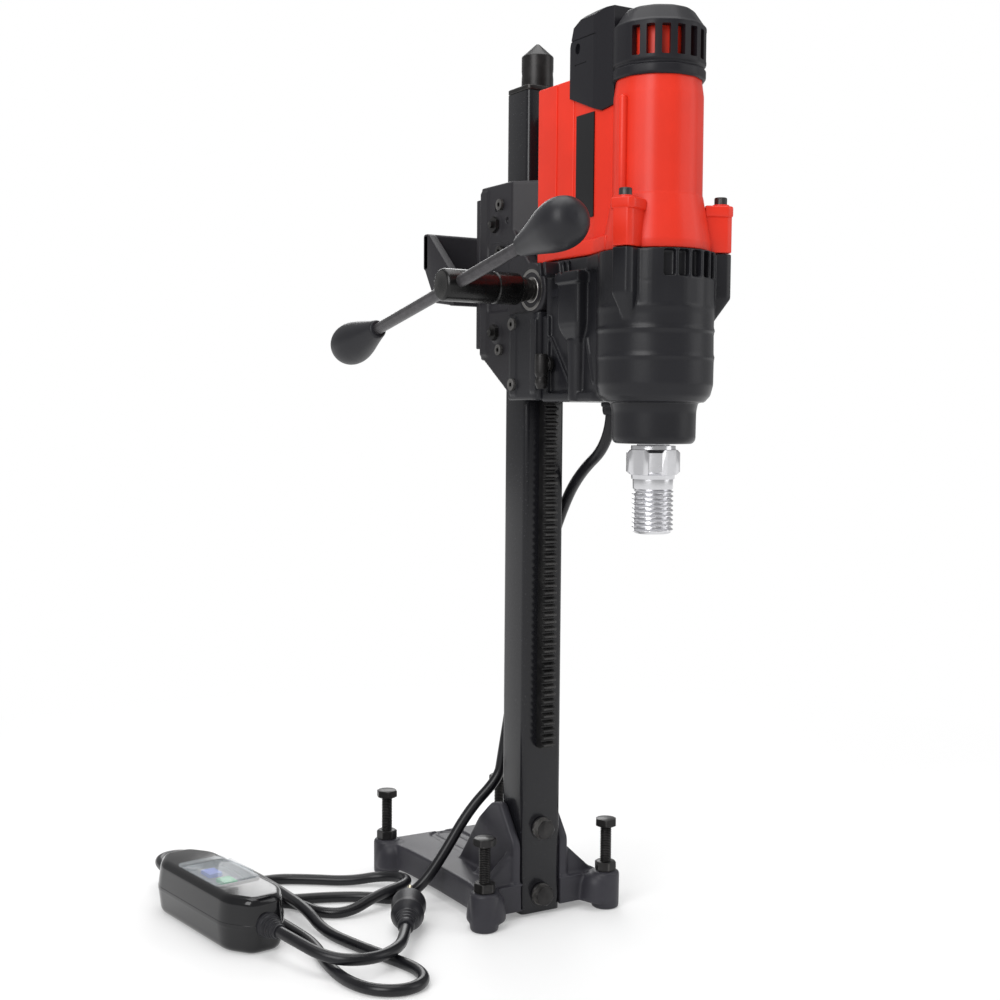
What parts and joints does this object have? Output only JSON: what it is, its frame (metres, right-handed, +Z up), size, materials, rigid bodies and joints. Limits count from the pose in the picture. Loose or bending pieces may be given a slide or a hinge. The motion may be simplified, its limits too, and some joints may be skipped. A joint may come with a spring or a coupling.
{
  "type": "core drill rig",
  "caption": "Core drill on a rack column stand with a levelling foot, crank feed, carry handle and corded switch box",
  "frame": {"origin": "on the floor under the middle of the column's front face", "axes": "+Z up along the column, +Y from the drill back to the column, +X to the right seen from the drill"},
  "size_m": [0.364, 0.4612, 0.751],
  "materials": {
    "cast_base": "satin paint over casting",
    "gloss_black": "gloss",
    "black_steel": "black oxide",
    "cast_carriage": "satin",
    "cast_gearbox": "satin black coat on casting",
    "red_plastic": "satin moulded",
    "dark_plastic": "fine texture",
    "label_black": "satin film",
    "knob_black": "matte",
    "bearing_steel": "machined",
    "electrical_steel": "laminated",
    "copper": "turned copper",
    "slide_bronze": "sliding face",
    "cord_rubber": "matte",
    "switch_black": "gloss",
    "clear_flap": "clear",
    "button_blue": "gloss",
    "button_green": "gloss",
    "blade_steel": "plated"
  },
  "bodies": {
    "stand": {"base_plate": "cast_base", "column_tube": "gloss_black", "column_bolts": "black_steel", "column_washers": "black_steel", "column_cap": "gloss_black", "jack_nut": "black_steel", "rack": "black_steel", "rack_screws": "black_steel", "levelling_nuts": "black_steel", "switch_case_lower": "switch_black", "switch_case_upper": "switch_black", "switch_glands": "switch_black", "plug_body": "switch_black", "plug_blades": "blade_steel", "cord_floor": "cord_rubber", "cord_lead": "cord_rubber"},
    "jack": {"jack_screw": "black_steel"},
    "carriage": {"carriage": "cast_carriage", "carriage_back_plate": "cast_carriage", "slide_pads": "slide_bronze", "gib_screws": "black_steel", "carriage_screws": "black_steel", "carry_handle": "cast_carriage", "handle_screws": "black_steel", "mount_block": "cast_carriage", "mount_screws": "black_steel", "feed_bearings": "bearing_steel", "gear_housing": "cast_gearbox", "gear_plate": "cast_gearbox", "gearbox_bearings": "bearing_steel", "spindle_seal": "cord_rubber", "motor_housing": "red_plastic", "housing_screws": "black_steel", "vent_cap": "dark_plastic", "rear_cover": "dark_plastic", "nameplate": "label_black", "field_stator": "electrical_steel", "brush_holders": "dark_plastic", "hose_fitting": "black_steel", "cord_gland": "cord_rubber", "cord_upper": "cord_rubber"},
    "armature": {"armature_shaft": "bearing_steel", "armature_core": "electrical_steel", "commutator": "copper", "cooling_fan": "dark_plastic"},
    "idler": {"idler_shaft": "bearing_steel"},
    "spindle": {"spindle": "bearing_steel", "spindle_gear": "bearing_steel"},
    "crank": {"feed_shaft": "bearing_steel", "feed_pinion": "bearing_steel", "feed_hub": "black_steel", "crank_rod": "black_steel", "crank_knobs": "knob_black"},
    "flap": {"switch_flap": "clear_flap"},
    "test_button": {"test_button": "button_blue"},
    "reset_button": {"reset_button": "button_green"},
    "level_front_left": {"levelling_bolt_front_left": "black_steel"},
    "level_front_right": {"levelling_bolt_front_right": "black_steel"},
    "level_rear_left": {"levelling_bolt_rear_left": "black_steel"},
    "level_rear_right": {"levelling_bolt_rear_right": "black_steel"}
  },
  "joints": [
    {"name": "carriage_feed", "type": "slide", "parent": "stand", "child": "carriage", "axis": [0, 0, 1], "range_m": [-0.28, 0.06], "deforming": ["cord_upper"]},
    {"name": "feed_crank", "type": "hinge", "parent": "carriage", "child": "crank", "pos_m": [0, -0.0281, 0.5394], "axis": [1, 0, 0], "range_deg": [-191, 892]},
    {"name": "spindle_spin", "type": "hinge", "parent": "carriage", "child": "spindle", "pos_m": [0, -0.1533, 0.45], "axis": [0, 0, 1], "continuous": true},
    {"name": "idler_spin", "type": "hinge", "parent": "carriage", "child": "idler", "pos_m": [0, -0.11818, 0.5], "axis": [0, 0, 1], "continuous": true},
    {"name": "armature_spin", "type": "hinge", "parent": "carriage", "child": "armature", "pos_m": [0, -0.1533, 0.6], "axis": [0, 0, 1], "continuous": true},
    {"name": "jack_lift", "type": "slide", "parent": "stand", "child": "jack", "axis": [0, 0, 1], "range_m": [0, 0.035]},
    {"name": "flap_hinge", "type": "hinge", "parent": "stand", "child": "flap", "pos_m": [-0.23276, 0.11552, 0.0489], "axis": [-0.1236, 0.9923, 0], "range_deg": [0, 110]},
    {"name": "test_press", "type": "slide", "parent": "stand", "child": "test_button", "axis": [0, 0, -1], "range_m": [0, 0.0015], "stiffness_N_per_m": 600, "springref_m": -0.001},
    {"name": "reset_press", "type": "slide", "parent": "stand", "child": "reset_button", "axis": [0, 0, -1], "range_m": [0, 0.0015], "stiffness_N_per_m": 600, "springref_m": -0.001},
    {"name": "level_front_left", "type": "slide", "parent": "stand", "child": "level_front_left", "axis": [0, 0, 1], "range_m": [-0.015, 0.02]},
    {"name": "level_front_right", "type": "slide", "parent": "stand", "child": "level_front_right", "axis": [0, 0, 1], "range_m": [-0.015, 0.02]},
    {"name": "level_rear_left", "type": "slide", "parent": "stand", "child": "level_rear_left", "axis": [0, 0, 1], "range_m": [-0.015, 0.02]},
    {"name": "level_rear_right", "type": "slide", "parent": "stand", "child": "level_rear_right", "axis": [0, 0, 1], "range_m": [-0.015, 0.02]}
  ],
  "couplings": [
    {"joint": "feed_crank", "follows": "carriage_feed", "rad_per_m": -55.556},
    {"joint": "idler_spin", "follows": "spindle_spin", "ratio": -3},
    {"joint": "armature_spin", "follows": "spindle_spin", "ratio": 9}
  ]
}
